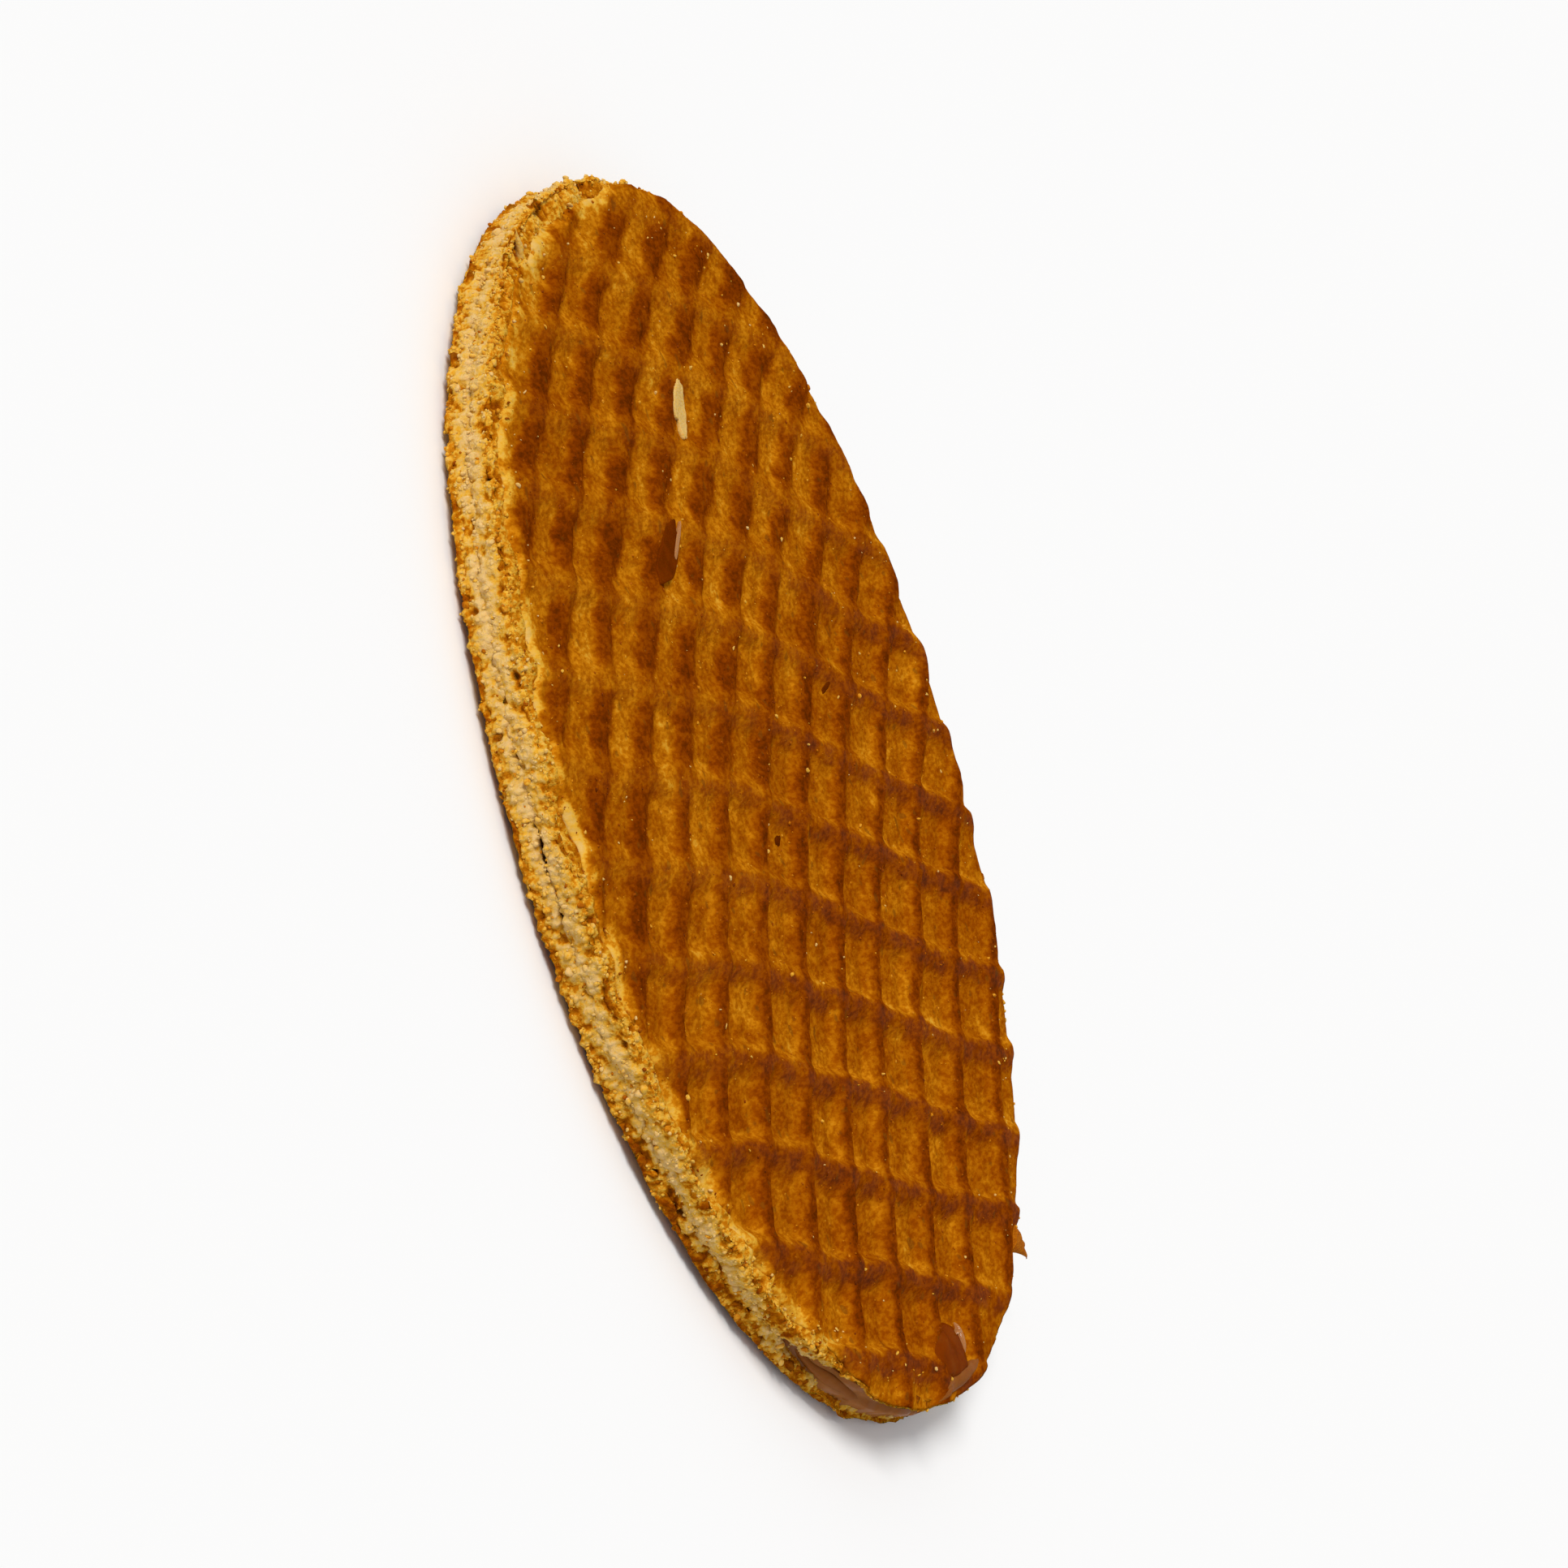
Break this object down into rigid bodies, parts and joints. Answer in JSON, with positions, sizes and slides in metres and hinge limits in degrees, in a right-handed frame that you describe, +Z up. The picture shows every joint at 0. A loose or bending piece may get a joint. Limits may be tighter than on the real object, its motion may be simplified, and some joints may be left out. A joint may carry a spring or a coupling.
{
  "type": "stroopwafel",
  "caption": "Round thin caramel-filled waffle biscuit: a patterned waffle sliced level, with a layer of dark syrup between its halves that has run out at the rim.",
  "frame": {"origin": "middle of the underside, on the crossing of two ridges that it rests on", "axes": "+Z up out of the face that the picture shows; +Y towards the rim that was farthest from the picture's camera; -X towards the rim that was uppermost in the picture"},
  "size_m": [0.0997, 0.0996, 0.005],
  "materials": {
    "baked_waffle": "baked crust, satin, with a crumbly pale cut edge",
    "caramel_syrup": "sticky gloss, slightly cloudy"
  },
  "bodies": {
    "root": {"wafer_bottom": "baked_waffle", "syrup": "caramel_syrup", "wafer_top": "baked_waffle"}
  },
  "joints": []
}
